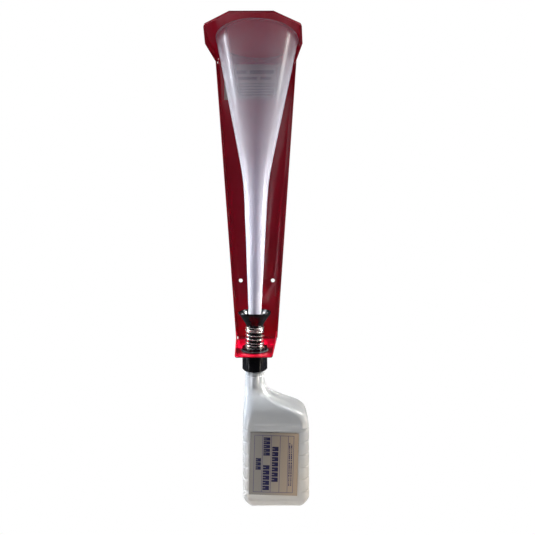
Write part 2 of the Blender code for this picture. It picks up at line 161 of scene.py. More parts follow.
def add(tree, kind, settings=None, **inputs):
    """Add a node. Settings are its properties; inputs are values or sockets to link."""
    node = tree.nodes.new(kind)
    for key, value in (settings or {}).items():
        setattr(node, key, value)
    for key, value in inputs.items():
        name = key.replace("_", " ").strip()
        socket = node.inputs[int(name) if name.isdigit() else name]
        if isinstance(value, bpy.types.NodeSocket):
            tree.links.new(value, socket)
        else:
            socket.default_value = value
    return node


def new_material(name):
    """A new node material: returns the material, its tree and its Principled shader."""
    material = bpy.data.materials.new(name)
    material.use_nodes = True
    tree = material.node_tree
    return material, tree, tree.nodes["Principled BSDF"]


def set_values(shader, values):
    """Give the shader's own sockets values that are the same all over the surface."""
    for name, value in values.items():
        shader.inputs[name].default_value = value


def place(tree):
    """The point on the object, in metres."""
    return tree.nodes.new("ShaderNodeTexCoord").outputs["Object"]


def height_of(tree, point):
    """The height of a point."""
    return add(tree, "ShaderNodeSeparateXYZ", Vector=point).outputs["Z"]


def noise(tree, point, scale, detail, **more):
    """Noise with about as many blobs to the metre as its scale."""
    return add(tree, "ShaderNodeTexNoise", Vector=point, Scale=scale, Detail=detail,
               **more).outputs["Fac"]


def remap(tree, value, start, end, low=0.0, high=1.0):
    """Stretch the range from start to end to the range from low to high."""
    return add(tree, "ShaderNodeMapRange", Value=value, From_Min=start, From_Max=end,
               To_Min=low, To_Max=high).outputs["Result"]


def ramp(tree, factor, low, high, colour_low, colour_high):
    """A two-colour ramp between two factor values; the colours are hex."""
    node = add(tree, "ShaderNodeValToRGB", Fac=factor)
    first, last = node.color_ramp.elements
    first.position, first.color = low, linear(colour_low)
    last.position, last.color = high, linear(colour_high)
    return node.outputs["Color"]


def bump(tree, shader, height, strength, distance):
    """Drive the shader's normal from a height."""
    node = add(tree, "ShaderNodeBump", Height=height, Strength=strength,
               Distance=distance)
    tree.links.new(node.outputs["Normal"], shader.inputs["Normal"])


# %% [markdown]
# ## Candy red powder coat
#
# The bracket is mild steel, degreased, powder coated and baked. The powder melts
# into a thick film that shrinks into soft waves a few millimetres across, the
# orange peel, and this red is a candy: a see-through red over a bright base, so it
# goes nearly black where it mirrors a dark room and glows where light falls on it.

# %% Powder coat
def powder_coat():
    """A clear coat with orange peel over a red that drifts a little."""
    material, tree, shader = new_material("Candy red powder coat on steel")
    point = place(tree)
    peel = noise(tree, point, 1 / (3.5 * MM), 2.0, Roughness=0.4)
    drift = noise(tree, point, 14.0, 3.0)
    dust = noise(tree, point, 60.0, 6.0)
    tree.links.new(ramp(tree, drift, 0.35, 0.68, "#ac001e", "#b80023"),
                   shader.inputs["Base Color"])
    tree.links.new(remap(tree, dust, 0.3, 0.7, 0.3, 0.4), shader.inputs["Roughness"])
    set_values(shader, {"Metallic": 0.1, "Specular IOR Level": 0.2, "Coat Weight": 0.9,
                        "Coat Roughness": 0.1, "Coat IOR": 1.5})
    bump(tree, shader, peel, 0.1, 0.3 * MM)
    return material


RED = powder_coat()


# %% [markdown]
# ## Frosted polypropylene
#
# The funnel is injection-moulded natural polypropylene. The thin bowl lets most
# light through and only adds a bluish haze; the spout is narrow and its walls are
# thick for their size, so it turns milky. Each wall of the model is two surfaces,
# so the haze of one surface is kept low and grows towards the spout.

# %% Polypropylene
# height in metres, and how much of the light one surface stops there
HAZE = ((-0.062, 0.74), (0.0, 0.68), (0.07, 0.57), (0.14, 0.42), (0.21, 0.24),
        (0.30, 0.13), (0.36, 0.12), (0.3945, 0.12), (0.3955, 0.2), (0.40, 0.25))


def haze_at(tree, height):
    """The haze of one surface at a height, from the table."""
    foot, top = HAZE[0][0], HAZE[-1][0]
    haze = add(tree, "ShaderNodeValToRGB", Fac=remap(tree, height, foot, top))
    stops = haze.color_ramp.elements
    for index, (at, level) in enumerate(HAZE):
        spot = (at - foot) / (top - foot)
        if index in (0, len(HAZE) - 1):
            stop = stops[0] if index == 0 else stops[len(stops) - 1]
            stop.position = spot
        else:
            stop = stops.new(spot)
        stop.color = (level, level, level, 1.0)
    return haze.outputs["Color"]


def polypropylene():
    """A see-through skin that gets milkier downwards and where it is seen edge-on."""
    material, tree, shader = new_material("Frosted natural polypropylene")
    point = place(tree)
    edge = add(tree, "ShaderNodeLayerWeight", Blend=0.5).outputs["Facing"]
    grazing = add(tree, "ShaderNodeMath", {"operation": "POWER"}, _0=edge, _1=3.0)
    more = add(tree, "ShaderNodeMath", {"operation": "MULTIPLY_ADD", "use_clamp": True},
               _0=grazing.outputs[0], _1=0.6, _2=haze_at(tree, height_of(tree, point)))
    tree.links.new(more.outputs[0], shader.inputs["Alpha"])
    set_values(shader, {"Base Color": linear("#e6e4ed"), "Roughness": 0.28, "IOR": 1.49,
                        "Subsurface Weight": 0.8, "Subsurface Scale": 1.0,
                        "Subsurface Radius": (0.03, 0.03, 0.03),
                        "Coat Weight": 0.12, "Coat Roughness": 0.08})
    bump(tree, shader, noise(tree, point, 45.0, 2.0), 0.08, 0.6 * MM)
    return material


FROSTED = polypropylene()


# %% [markdown]
# ## Natural polyethylene
#
# The bottle is extrusion blow-moulded HDPE. Without pigment it is a waxy, slightly
# blue white that oil vapour yellows a little from the bottom up, and its outside
# takes the fine texture of the sand-blasted mould.

# %% Polyethylene
YELLOW_TO, CLEAR_FROM = -0.30, -0.17          # heights in metres


def polyethylene():
    """A waxy white, warmer towards the bottom, with the grit of the mould."""
    material, tree, shader = new_material("Natural blow-moulded polyethylene")
    point = place(tree)
    fade = remap(tree, height_of(tree, point), YELLOW_TO, CLEAR_FROM)
    drift = add(tree, "ShaderNodeMath", {"operation": "MULTIPLY_ADD"},
                _0=noise(tree, point, 22.0, 3.0), _1=0.25, _2=fade)
    tree.links.new(ramp(tree, drift.outputs[0], 0.1, 1.1, "#e0dacd", "#d8dfe0"),
                   shader.inputs["Base Color"])
    set_values(shader, {"Roughness": 0.24, "IOR": 1.54, "Subsurface Weight": 0.8,
                        "Subsurface Scale": 1.0,
                        "Subsurface Radius": (0.012, 0.012, 0.012)})
    bump(tree, shader, noise(tree, point, 1 / (0.9 * MM), 2.0), 0.1, 0.2 * MM)
    return material


MILKY = polyethylene()


# %% [markdown]
# ## Black moulded plastic and rubber
#
# The cup, stem, nut and cap are glass-filled nylon from a polished mould: black,
# half glossy, with a hint of fibre in the skin. The gasket is moulded EPDM rubber,
# duller, with a dusty bloom.

# %% Black plastic and rubber
def black_plastic():
    """Black with uneven gloss and a fine fibre texture."""
    material, tree, shader = new_material("Black glass-filled nylon")
    point = place(tree)
    smear = noise(tree, point, 70.0, 3.0)
    tree.links.new(remap(tree, smear, 0.3, 0.7, 0.2, 0.32), shader.inputs["Roughness"])
    set_values(shader, {"Base Color": linear("#060608"), "IOR": 1.45,
                        "Specular IOR Level": 0.22})
    bump(tree, shader, noise(tree, point, 1 / (1.2 * MM), 4.0), 0.1, 0.1 * MM)
    return material


def rubber():
    """Dull black with a grey bloom."""
    material, tree, shader = new_material("Black EPDM rubber")
    bloom = noise(tree, place(tree), 160.0, 6.0)
    tree.links.new(ramp(tree, bloom, 0.4, 0.75, "#0f0f10", "#1d1d1e"),
                   shader.inputs["Base Color"])
    set_values(shader, {"Roughness": 0.55})
    bump(tree, shader, bloom, 0.15, 0.2 * MM)
    return material


BLACK = black_plastic()
RUBBER = rubber()


# %% [markdown]
# ## Zinc-plated spring steel and white nylon
#
# The spring is cold-drawn wire with bright zinc on it, and the washers are stamped
# and plated. The drawing die leaves faint lines that blur the mirror a little.

# %% Steel and nylon
def plated_steel():
    """Bright metal with faint drawing marks in its colour and gloss."""
    material, tree, shader = new_material("Bright zinc-plated spring steel")
    lines = noise(tree, place(tree), 1 / (1.5 * MM), 3.0)
    tree.links.new(ramp(tree, lines, 0.3, 0.7, "#c9c4ba", "#e4e1da"),
                   shader.inputs["Base Color"])
    tree.links.new(remap(tree, lines, 0.3, 0.7, 0.16, 0.3), shader.inputs["Roughness"])
    set_values(shader, {"Metallic": 1.0})
    return material


def nylon():
    """A clouded warm white."""
    material, tree, shader = new_material("Natural white nylon")
    cloud = noise(tree, place(tree), 90.0, 3.0)
    tree.links.new(ramp(tree, cloud, 0.3, 0.7, "#d8d4c8", "#e6e3da"),
                   shader.inputs["Base Color"])
    set_values(shader, {"Roughness": 0.4})
    return material


STEEL = plated_steel()
NYLON = nylon()


# %% [markdown]
# ## The bracket
#
# A press brake folds the blank, so the folds are round and the cut edges are soft
# once the powder has flowed over them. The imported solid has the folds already. A
# copy of it is merged, its flat facets are joined, and every edge gets the small
# radius that catches the light.

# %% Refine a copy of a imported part
FLAT = math.radians(0.6)                      # faces this level with each other join


def refined(node, name, width, segments=2, angle=30):
    """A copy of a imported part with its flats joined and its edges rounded."""
    piece = NODES[node].copy()
    piece.data = NODES[node].data.copy()
    bpy.context.scene.collection.objects.link(piece)
    for key in list(piece.keys()):
        del piece[key]
    piece.parent = None
    piece.name = name
    only(piece)
    edit_all()
    bpy.ops.mesh.remove_doubles(threshold=MERGE)
    bpy.ops.mesh.dissolve_limited(angle_limit=FLAT)
    leave_edit()
    soften(piece, width, segments, angle)
    return piece


bracket = refined("bracket", "folded_bracket", 0.35 * MM, 2, 28)
wear(bracket, "root", RED, "red_powder_coat", "bracket")


# %% [markdown]
# ## Turned shapes
#
# The funnel and the cup are round about the neck axis. A circle is added at the first
# point of the outline and extruded from ring to ring: each new ring is shifted in
# height and resized about the axis.

# %% Turn an outline
def turned(name, outline, segments=96):
    """A closed ring shape from (radius, height) points, going round the outline."""
    radius, height = outline[0]
    bpy.ops.object.select_all(action="DESELECT")
    bpy.ops.mesh.primitive_circle_add(vertices=segments, radius=radius,
                                      location=(AXIS.x, AXIS.y, height))
    piece = bpy.context.object
    piece.name = name
    edit_all()
    for new_radius, new_height in outline[1:] + outline[:1]:
        lift = (0.0, 0.0, new_height - height)
        bpy.ops.mesh.extrude_edges_move(TRANSFORM_OT_translate={"value": lift})
        scale = new_radius / radius
        bpy.ops.transform.resize(value=(scale, scale, 1.0),
                                 center_override=(AXIS.x, AXIS.y, new_height))
        radius, height = new_radius, new_height
    bpy.ops.mesh.select_all(action="SELECT")
    bpy.ops.mesh.remove_doubles(threshold=2 * MERGE)
    bpy.ops.mesh.normals_make_consistent(inside=False)
    leave_edit()
    settle(piece)
    return piece


# %% [markdown]
# ## The funnel
#
# Its outside is two straight tapers joined by a soft curve. The curve is a formula:
# the spout's taper, plus the bowl's cone let in gently. The rim is a short upright
# band with a bead at its top, which stops the thin bowl from going oval.

# %% Funnel
low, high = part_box("funnel")
LEAN = math.radians(0.65)
SPOUT_TIP_R, SPOUT_SLOPE = 9.4 * MM, 0.045
BOWL_R, BOWL_AT, BOWL_SLOPE = 26.5 * MM, 203 * MM, 0.2045
BLEND = 1.95 * MM
FUNNEL_WALL = 1.5 * MM
RIM_BAND = 4.0 * MM
BAND_INSET = 0.35 * MM
# the bead: how far in from the rim radius and how far below the mouth, in mm
BEAD = ((0.5, 0.0), (0.0, 0.5), (0.0, 1.6))
BEAD_FOOT = 2.0 * MM
RIM_R = (high.x - low.x) / 2 / math.cos(LEAN)
TIP = low.z + SPOUT_TIP_R * math.sin(LEAN)
MOUTH = TIP + (high.z - TIP - RIM_R * math.sin(LEAN)) / math.cos(LEAN)
band_foot = MOUTH - RIM_BAND
# ring heights: from, to and how many, close together where the tapers meet
FUNNEL_SPANS = ((band_foot, 0.215, 14), (0.207, 0.135, 13), (0.12, TIP, 10))
FUNNEL_SEGMENTS = 160
print("rim radius, tip and mouth, mm:",
      [round(v / MM, 2) for v in (RIM_R, TIP, MOUTH)])


def funnel_radius(height):
    """Outer radius of the funnel at a height."""
    spout = SPOUT_TIP_R + SPOUT_SLOPE * (height - TIP)
    bowl = BOWL_R + BOWL_SLOPE * (height - BOWL_AT)
    return spout + BLEND * math.log1p(math.exp((bowl - spout) / BLEND))


heights = [float(z) for span in FUNNEL_SPANS for z in np.linspace(*span)]
outer = [(funnel_radius(z), z) for z in heights]
inner = [(radius - FUNNEL_WALL, z) for radius, z in reversed(outer)]
rim = [(RIM_R - inset * MM, MOUTH - drop * MM) for inset, drop in BEAD]
rim += [(RIM_R - BAND_INSET, MOUTH - BEAD_FOOT),
        (RIM_R - BAND_INSET, band_foot + 0.2 * MM)]
inside_r = RIM_R - FUNNEL_WALL - 0.1 * MM
inside = [(inside_r, band_foot + 1.2 * MM), (inside_r, MOUTH)]
funnel = turned("long_neck_funnel", rim + outer + inner + inside, FUNNEL_SEGMENTS)
only(funnel)
edit_all()
bpy.ops.transform.rotate(value=-LEAN, orient_axis="Y",
                         center_override=(AXIS.x, AXIS.y, TIP))
leave_edit()
rim_xs = [vertex.co.x for vertex in funnel.data.vertices]
print("leaning rim, mm:", round(min(rim_xs) / MM, 2), round(max(rim_xs) / MM, 2),
      "to fill", round(low.x / MM, 2), round(high.x / MM, 2))
smooth_below(funnel, 40)
wear(funnel, "funnel", FROSTED, "frosted_polypropylene", "funnel")

# %% [markdown]
# ## The sprung cup and its stem
#
# The cup is a little funnel of its own: a flared wall with a rounded rim, a seat
# that stops the spout and a hole in the middle of the seat.

# %% Cup and stem
cup_low, cup_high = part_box("receiver_cup")
CUP_R = (cup_high.x - cup_low.x) / 2
# share of the rim radius and height from the rim in mm: down the outside, up the inside
CUP_OUT = ((1.0, -0.6), (1.0, -2.2), (0.905, -5.8), (0.76, -11.4), (0.64, -16.2),
           (0.535, -20.6), (0.507, -23.6))
CUP_IN = ((0.355, -23.6), (0.355, -20.5), (0.2286, -20.5), (0.2286, -19.1),
          (0.465, -19.1), (0.556, -16.5), (0.678, -11.5), (0.83, -5.9), (0.93, -1.0),
          (0.94, 0.0), (0.985, 0.0))
cup_outline = [(share * CUP_R, cup_high.z + drop * MM)
               for share, drop in CUP_OUT + CUP_IN]
cup = turned("receiver_cup_shell", cup_outline)
soften(cup, 0.3 * MM, 3, 24)
wear(cup, "plunger", BLACK, "black_moulded_plastic", "receiver_cup")

stem = refined("drain_stem", "hollow_drain_stem", 0.3 * MM, 2, 40)
wear(stem, "plunger", BLACK, "black_moulded_plastic", "drain_stem")

# %% [markdown]
# ## The spring
#
# A closed-end compression spring: nearly two dead coils at the top, open coils
# between, and a dead coil at the foot. The coil's line is worked out turn by turn
# and the wire is its round bevel.

# %% Spring
spring_low, spring_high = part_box("return_spring")
WIRE = 1.9 * MM
DEAD_PITCH = 2.15 * MM
DEAD_TOP, OPEN_TURNS, DEAD_FOOT = 1.9, 3.6, 1.3
POINTS_A_TURN = 40


def coil_points():
    """Points along the wire's centre, from the top down."""
    top, foot = spring_high.z - WIRE / 2, spring_low.z + WIRE / 2
    radius = (spring_high.y - spring_low.y - WIRE) / 2
    open_pitch = (top - foot - DEAD_PITCH * (DEAD_TOP + DEAD_FOOT)) / OPEN_TURNS
    turns = DEAD_TOP + OPEN_TURNS + DEAD_FOOT
    points = []
    for index in range(round(turns * POINTS_A_TURN) + 1):
        turn = index / POINTS_A_TURN
        opened = min(max(turn - DEAD_TOP, 0.0), OPEN_TURNS)
        angle = math.tau * turn - math.pi / 2
        points.append((AXIS.x + radius * math.cos(angle),
                       AXIS.y + radius * math.sin(angle),
                       top - DEAD_PITCH * (turn - opened) - open_pitch * opened))
    return points


def wire_coil(name, points, diameter):
    """A round wire along the points, as a mesh."""
    curve = bpy.data.curves.new(name, "CURVE")
    curve.dimensions = "3D"
    curve.bevel_depth = diameter / 2
    curve.bevel_resolution = 5
    curve.use_fill_caps = True
    line = curve.splines.new("POLY")
    line.points.add(len(points) - 1)
    for spot, point in zip(line.points, points):
        spot.co = (*point, 1.0)
    piece = bpy.data.objects.new(name, curve)
    bpy.context.scene.collection.objects.link(piece)
    only(piece)
    bpy.ops.object.convert(target="MESH")
    edit_all()
    bpy.ops.mesh.remove_doubles(threshold=MERGE)
    leave_edit()
    smooth_below(piece, 50)
    return piece


spring = wire_coil("closed_end_spring", coil_points(), WIRE)
wear(spring, "root", STEEL, "bright_plated_steel", "return_spring")
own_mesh(spring)

# %% [markdown]
# ## Shelf fitting
#
# The hollow stud comes up through the shelf and is clamped by the gasket and the
# eight-sided lock nut. These are plain shapes whose looks are all in their edges.

# %% Gasket, nut and rings
MOULDED, PLATED = (BLACK, "black_moulded_plastic"), (STEEL, "bright_plated_steel")
# part, name of the finished piece, body, material and slot, edge radius in mm
FITTINGS = (
    ("shelf_gasket", "round_shelf_gasket", "root", (RUBBER, "black_rubber"), 0.6),
    ("lock_nut", "eight_sided_lock_nut", "root", MOULDED, 0.5),
    ("hollow_stud", "flanged_hollow_stud", "root", MOULDED, 0.3),
    ("spring_bottom_washer", "lower_spring_shim", "root", PLATED, 0.1),
    ("slip_washer", "nylon_slip_washer", "root", (NYLON, "white_nylon"), 0.15),
    ("spring_top_washer", "upper_spring_washer", "plunger", PLATED, 0.2),
    ("swivel_cap", "hexagonal_swivel_cap", "cap", MOULDED, 0.5))
for node, name, body, (look, slot), width in FITTINGS:
    wear(refined(node, name, width * MM, 3, 22), body, look, slot, node)

# %% [markdown]
# Pieces inside the stud and the cap only need their material.

# %% Inner parts keep their solids
for node, look in (("guide_bush", NYLON), ("stem_seal", RUBBER), ("stop_washer", STEEL),
                   ("retaining_ring", STEEL), ("cap_liner", RUBBER)):
    NODES[node].data.materials.clear()
    NODES[node].data.materials.append(look)


# %% [markdown]
# ## The bottle
#
# A blow-moulded bottle has no straight tool marks: every section is a rectangle
# with round corners, or a circle at the neck, and they flow into each other. Such a
# loft isn't a job for extruding by hand, so a flat grid is added and rolled up: one
# way goes round the section, the other way goes down the bottle.
#
# The details ride on the same roll: the screw thread and the bead of the neck, the
# grooves that stiffen the sides, the shallow panel the label is stuck in, and the
# parting line where the mould halves met.

# %% Bottle sections
# height in the frame, then left, right, half depth and corner radius, in mm about
# the neck axis
SHAPE = np.array((
    (-153.0, -15.4, 15.4, 15.4, 15.4), (-160.5, -15.7, 17.3, 15.9, 15.6),
    (-168.5, -16.0, 23.5, 18.5, 17.0), (-175.0, -16.3, 34.0, 22.0, 18.0),
    (-183.0, -16.8, 51.5, 25.5, 18.0), (-190.0, -17.2, 69.0, 27.6, 16.5),
    (-196.0, -17.5, 77.8, 28.7, 14.5), (-206.0, -17.8, 83.2, 29.6, 12.5),
    (-220.0, -18.1, 85.4, 30.0, 11.0), (-325.5, -18.1, 85.4, 30.0, 11.0),
    (-327.5, -17.3, 84.6, 30.0, 10.6), (-334.4, -11.0, 78.3, 29.4, 8.4),
    (-336.0, -9.2, 76.5, 28.6, 7.6)))
# depth below the frame's zero and radius of the neck, in mm: collar, bead, groove
NECK_DEPTHS = (136.6, 137.3, 140.4, 141.1, 141.8, 142.6, 153.0)
NECK_RADII = (14.1, 15.6, 15.6, 14.9, 14.9, 15.4, 15.4)
NECK_FOOT, BASE = -153.0, -336.0
THREAD_PITCH, THREAD_DEPTH, CREST_WIDTH = 4.2, 0.9, 0.2
THREAD_STARTS, THREAD_ENDS = (115.5, 117.5), (-133.0, -130.0)
GROOVES = [-219.5 - 18.9 * step for step in range(6)]
GROOVE_DEPTH, GROOVE_WIDTH = 1.5, 1.3
PANEL_X, PANEL_Z = (-9.0, 70.5), (-327.0, -211.0)
PANEL_DEPTH, SEAM_RIB = 0.6, 0.3
# the bottom: each ring's share of the last one's size and its rise in mm
PUSH_UP = ((0.86, 0.0), (0.78, 2.6), (0.02, 2.6))
BOTTLE_WALL = 1.2 * MM
AROUND = 144


def smoothstep(value, start, end):
    """0 before start, 1 after end, smooth between; works on arrays."""
    share = np.clip((value - start) / (end - start), 0.0, 1.0)
    return share * share * (3 - 2 * share)


def body_section(height):
    """Left, right, half depth and corner at a height, on a smooth curve."""
    table = SHAPE[::-1]
    rows = table[:, 0]
    spot = int(np.clip(np.searchsorted(rows, height) - 1, 0, len(rows) - 2))
    gap = rows[spot + 1] - rows[spot]
    h = (height - rows[spot]) / gap
    values = []
    for column in range(1, 5):
        track = table[:, column]
        slopes = np.gradient(track, rows)
        a, b = track[spot], track[spot + 1]
        chord = (b - a) / gap
        m0, m1 = (0.0 if slope * chord <= 0 else math.copysign(
            min(abs(slope), 3 * abs(chord)), chord) for slope in slopes[spot:spot + 2])
        values.append((1 + 2 * h) * (1 - h) ** 2 * a + h * (1 - h) ** 2 * gap * m0
                      + h * h * (3 - 2 * h) * b + h * h * (h - 1) * gap * m1)
    return values


def neck_radius(height):
    """Radius of the neck, without its thread."""
    return float(np.interp(-height, NECK_DEPTHS, NECK_RADII))


# %% Roll the grid into the bottle
def ring(height):
    """One section as x, y points about the neck axis, evenly spaced, in mm."""
    if height > NECK_FOOT:
        radius = neck_radius(height)
        angle = np.linspace(0, math.tau, AROUND, endpoint=False)
        phase = (angle / math.tau - height / THREAD_PITCH) % 1.0
        crest = np.exp(-((phase - 0.5) / CREST_WIDTH) ** 2)
        ends = smoothstep(-height, *THREAD_STARTS) * smoothstep(height, *THREAD_ENDS)
        radius = radius + THREAD_DEPTH * crest * ends
        return np.stack([radius * np.cos(angle), radius * np.sin(angle)], 1)
    left, right, depth, corner = body_section(height)
    half = (right - left) / 2
    middle = (left + right) / 2
    corner = min(corner, half, depth) * 0.999
    straight_x, straight_y = half - corner, depth - corner
    arc = corner * math.pi / 2
    quarter = straight_x + straight_y + arc
    points = []
    for index in range(AROUND):
        quadrant, part = divmod(index * 4 / AROUND, 1)
        run = part * quarter
        if quadrant % 2:
            run = quarter - run
        if run < straight_y:
            x, y = half, run
        elif run < straight_y + arc:
            turn = (run - straight_y) / corner
            x = half - corner + corner * math.cos(turn)
            y = straight_y + corner * math.sin(turn)
        else:
            x, y = half - corner - (run - straight_y - arc), depth
        sign_x = 1 if quadrant in (0, 3) else -1
        sign_y = 1 if quadrant in (0, 1) else -1
        points.append((middle + sign_x * x, sign_y * y))
    return np.array(points)


def dressed_ring(height):
    """A section with its grooves, label panel and parting line pressed in."""
    points = ring(height)
    if height > NECK_FOOT:
        return points
    left, right, depth, _ = body_section(height)
    x, y = points[:, 0], points[:, 1]
    depth_cut = sum(np.exp(-((height - g) / GROOVE_WIDTH) ** 2) for g in GROOVES)
    sides = 1 - smoothstep(x, PANEL_X[0] - 3, PANEL_X[0]) * (
        1 - smoothstep(x, PANEL_X[1], PANEL_X[1] + 3))
    middle = (left + right) / 2
    away = np.stack([np.clip((x - middle) / ((right - left) / 2), -1, 1) ** 5,
                     np.clip(y / depth, -1, 1) ** 5], 1)
    away /= np.maximum(np.linalg.norm(away, axis=1), 0.05)[:, None]
    points = points - away * (GROOVE_DEPTH * depth_cut * sides)[:, None]
    panel = (smoothstep(height, PANEL_Z[0] - 1, PANEL_Z[0] + 1)
             * smoothstep(-height, -PANEL_Z[1] - 1, -PANEL_Z[1] + 1)
             * smoothstep(x, PANEL_X[0] - 1, PANEL_X[0] + 1)
             * smoothstep(-x, -PANEL_X[1] - 1, -PANEL_X[1] + 1))
    points[:, 1] -= np.sign(y) * PANEL_DEPTH * panel
    for index, side in ((0, 1), (AROUND // 2, -1)):
        points[index, 0] += side * SEAM_RIB
    return points


def bottle_heights():
    """Heights of the rings: close together where the surface changes fast."""
    spans = ((-114.1, -134.0, 0.5), (-134.0, -143.0, 0.35), (-143.0, -153.0, 2.0),
             (-153.5, -212.0, 1.5), (-212.5, -324.0, 0.95), (-324.5, BASE, 0.8))
    rows = [h for start, end, step in spans for h in np.arange(start, end, -step)]
    return rows + [BASE]


rows = bottle_heights()
rings = [np.column_stack([dressed_ring(h), np.full(AROUND, h)]) for h in rows]
centre = rings[-1].mean(0)
for shrink, rise in PUSH_UP:
    inward = centre + (rings[-1] - centre) * shrink
    inward[:, 2] = rows[-1] + rise
    rings.append(inward)
closed = np.vstack([np.vstack([one, one[:1]]) for one in rings])
bpy.ops.object.select_all(action="DESELECT")
bpy.ops.mesh.primitive_grid_add(x_subdivisions=AROUND, y_subdivisions=len(rings) - 1)
bottle = bpy.context.object
bottle.name = "offset_neck_bottle"
flat = closed * MM + np.array(AXIS)
bottle.data.vertices.foreach_set("co", flat.astype(np.float32).ravel())
bottle.data.update()
only(bottle)
edit_all()
bpy.ops.mesh.remove_doubles(threshold=MERGE)
bpy.ops.mesh.normals_make_consistent(inside=False)
leave_edit()
modify(bottle, "SOLIDIFY", thickness=BOTTLE_WALL, offset=-1.0)
smooth_below(bottle, 40)
settle(bottle)
wear(bottle, "bottle", MILKY, "natural_polyethylene", "bottle")

# %% [markdown]
# ## Labels
#
# Both labels are printed vinyl, a fraction of a millimetre thick, and the print is
# made up: a frame, ruled columns and dark blocks where type would be. The blocks
# are drawn with arithmetic on the label's own millimetres. A band is one wherever a
# value lies near its middle, and a row of blocks is a band that repeats.

# %% Print with arithmetic
BLOCK, SLOT = (0.07, 0.93), (0.45, 0.55)      # shares of the pitch of a row
SLOT_REACH = 1.3                              # in thirds of the height of a row
DASHES = 0.43                                 # noise above this is ink


def maths(tree, operation, *values):
    """One arithmetic node."""
    inputs = {f"_{index}": value for index, value in enumerate(values)}
    return add(tree, "ShaderNodeMath", {"operation": operation}, **inputs).outputs[0]


def band(tree, value, low, high):
    """One where the value is between low and high."""
    return maths(tree, "COMPARE", value, (low + high) / 2, (high - low) / 2)


def block_row(tree, along, across, start, end, low, high, pitch):
    """A row of slotted blocks between start and end, like a line of bold type."""
    steps = maths(tree, "DIVIDE", maths(tree, "SUBTRACT", along, start), pitch)
    part = maths(tree, "FRACT", steps)
    inside = maths(tree, "MULTIPLY", band(tree, along, start, end),
                   band(tree, across, low, high))
    body = maths(tree, "MULTIPLY", inside, band(tree, part, *BLOCK))
    third = (high - low) / 3
    slot = maths(tree, "MULTIPLY", band(tree, part, *SLOT),
                 band(tree, across, low - third, low + third * SLOT_REACH))
    return maths(tree, "SUBTRACT", body, slot)


def fine_row(tree, along, across, start, end, low, high):
    """A fine line broken into uneven dashes, like small type."""
    words = add(tree, "ShaderNodeTexNoise", {"noise_dimensions": "1D"}, W=along,
                Scale=0.75, Detail=0.0)
    ink = maths(tree, "GREATER_THAN", words.outputs["Fac"], DASHES)
    inside = maths(tree, "MULTIPLY", band(tree, along, start, end),
                   band(tree, across, low, high))
    return maths(tree, "MULTIPLY", inside, ink)


def together(tree, masks):
    """The strongest of several masks."""
    total = masks[0]
    for mask in masks[1:]:
        total = maths(tree, "MAXIMUM", total, mask)
    return total


def vinyl(name, centre, turn, paper_and_painted_sheen, draw):
    """Printed vinyl: paper colours that shade from left to right (on the bottle's label
    a painted reflection), and the inks that draw gives.
    """
    material, tree, shader = new_material(name)
    point = place(tree)
    mapped = add(tree, "ShaderNodeMapping", {"vector_type": "TEXTURE"}, Vector=point,
                 Location=centre, Rotation=(0.0, turn, 0.0), Scale=(MM, MM, MM))
    parts = add(tree, "ShaderNodeSeparateXYZ", Vector=mapped.outputs["Vector"])
    across, up = parts.outputs["X"], parts.outputs["Z"]
    # the paper's colour runs from left to right across the label; on the bottle's label
    # this is painted reflection
    colour = ramp(tree, remap(tree, across, -40.0, 40.0), 0.3, 0.95, *paper_and_painted_sheen)
    speckle = add(tree, "ShaderNodeTexNoise", Vector=point, Scale=900.0, Detail=2.0)
    colour = add(tree, "ShaderNodeMix", {"data_type": "RGBA", "blend_type": "MULTIPLY"},
                 Factor=0.12, _6=colour, _7=speckle.outputs["Color"]).outputs[2]
    for ink, mask in draw(tree, across, up):
        colour = add(tree, "ShaderNodeMix", {"data_type": "RGBA"}, Factor=mask,
                     _6=colour, _7=linear(ink)).outputs[2]
    tree.links.new(colour, shader.inputs["Base Color"])
    set_values(shader, {"Roughness": 0.42, "Specular IOR Level": 0.25})
    return material


# %% Bottle label
label_low, label_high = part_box("bottle_label")
LABEL_AT = (label_low + label_high) / 2
LABEL_TURN = math.radians(1.8)
FRAME = (-30.5, 30.0, -43.5, 43.5)            # left, right, bottom, top in mm
COLUMNS = (-18.0, -4.5, 9.0, 21.5)
RULE = 0.35
# rows that run up the label: start, end, low side, high side (and pitch), in mm
BOLD_ROWS = ((-9.9, 8.8, -27.9, -19.8, 6.23), (-41.0, -1.6, -16.5, -6.3, 7.88),
             (12.1, 41.0, -16.5, -6.3, 5.78), (-28.0, 27.0, -3.0, 6.7, 7.86))
FINE_ROWS = ((-33.0, 33.0, 22.8, 24.6), (-33.0, 31.0, 26.0, 27.8))


def bottle_print(tree, across, up):
    """A ruled frame with columns, four bold rows and two fine ones."""
    left, right, bottom, top = FRAME
    tall = band(tree, up, bottom, top)
    wide = band(tree, across, left, right)
    rules = [maths(tree, "MULTIPLY", tall, band(tree, across, x - RULE, x + RULE))
             for x in (left, right, *COLUMNS)]
    rules += [maths(tree, "MULTIPLY", wide, band(tree, up, z - RULE, z + RULE))
              for z in (bottom, top)]
    bold = [block_row(tree, up, across, *row) for row in BOLD_ROWS]
    fine = [fine_row(tree, up, across, *row) for row in FINE_ROWS]
    return (("#3c395a", together(tree, rules)), ("#0e0d36", together(tree, bold)),
            ("#24244a", together(tree, fine)))


# the taupe goes greyer and darker towards the left: a painted reflection across the
# label
bottle_vinyl = vinyl("Printed taupe vinyl", LABEL_AT, LABEL_TURN,
                     ("#7b7770", "#9b8a76"), bottle_print)
wear(refined("bottle_label", "taupe_bottle_label", 0.08 * MM), "bottle", bottle_vinyl,
     "printed_vinyl", "bottle_label")

# %% Plate label
plate_low, plate_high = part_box("bracket_label")
PLATE_AT = (plate_low + plate_high) / 2
# rows that run across the label: start, end, bottom, top and pitch, in mm
BIG_ROWS = ((-38.0, -14.0, 14.5, 21.5, 5.6), (-9.0, 34.0, 14.5, 21.5, 5.6),
            (-30.0, 4.0, 3.5, 9.5, 4.9), (10.0, 30.0, 3.5, 9.5, 4.9))
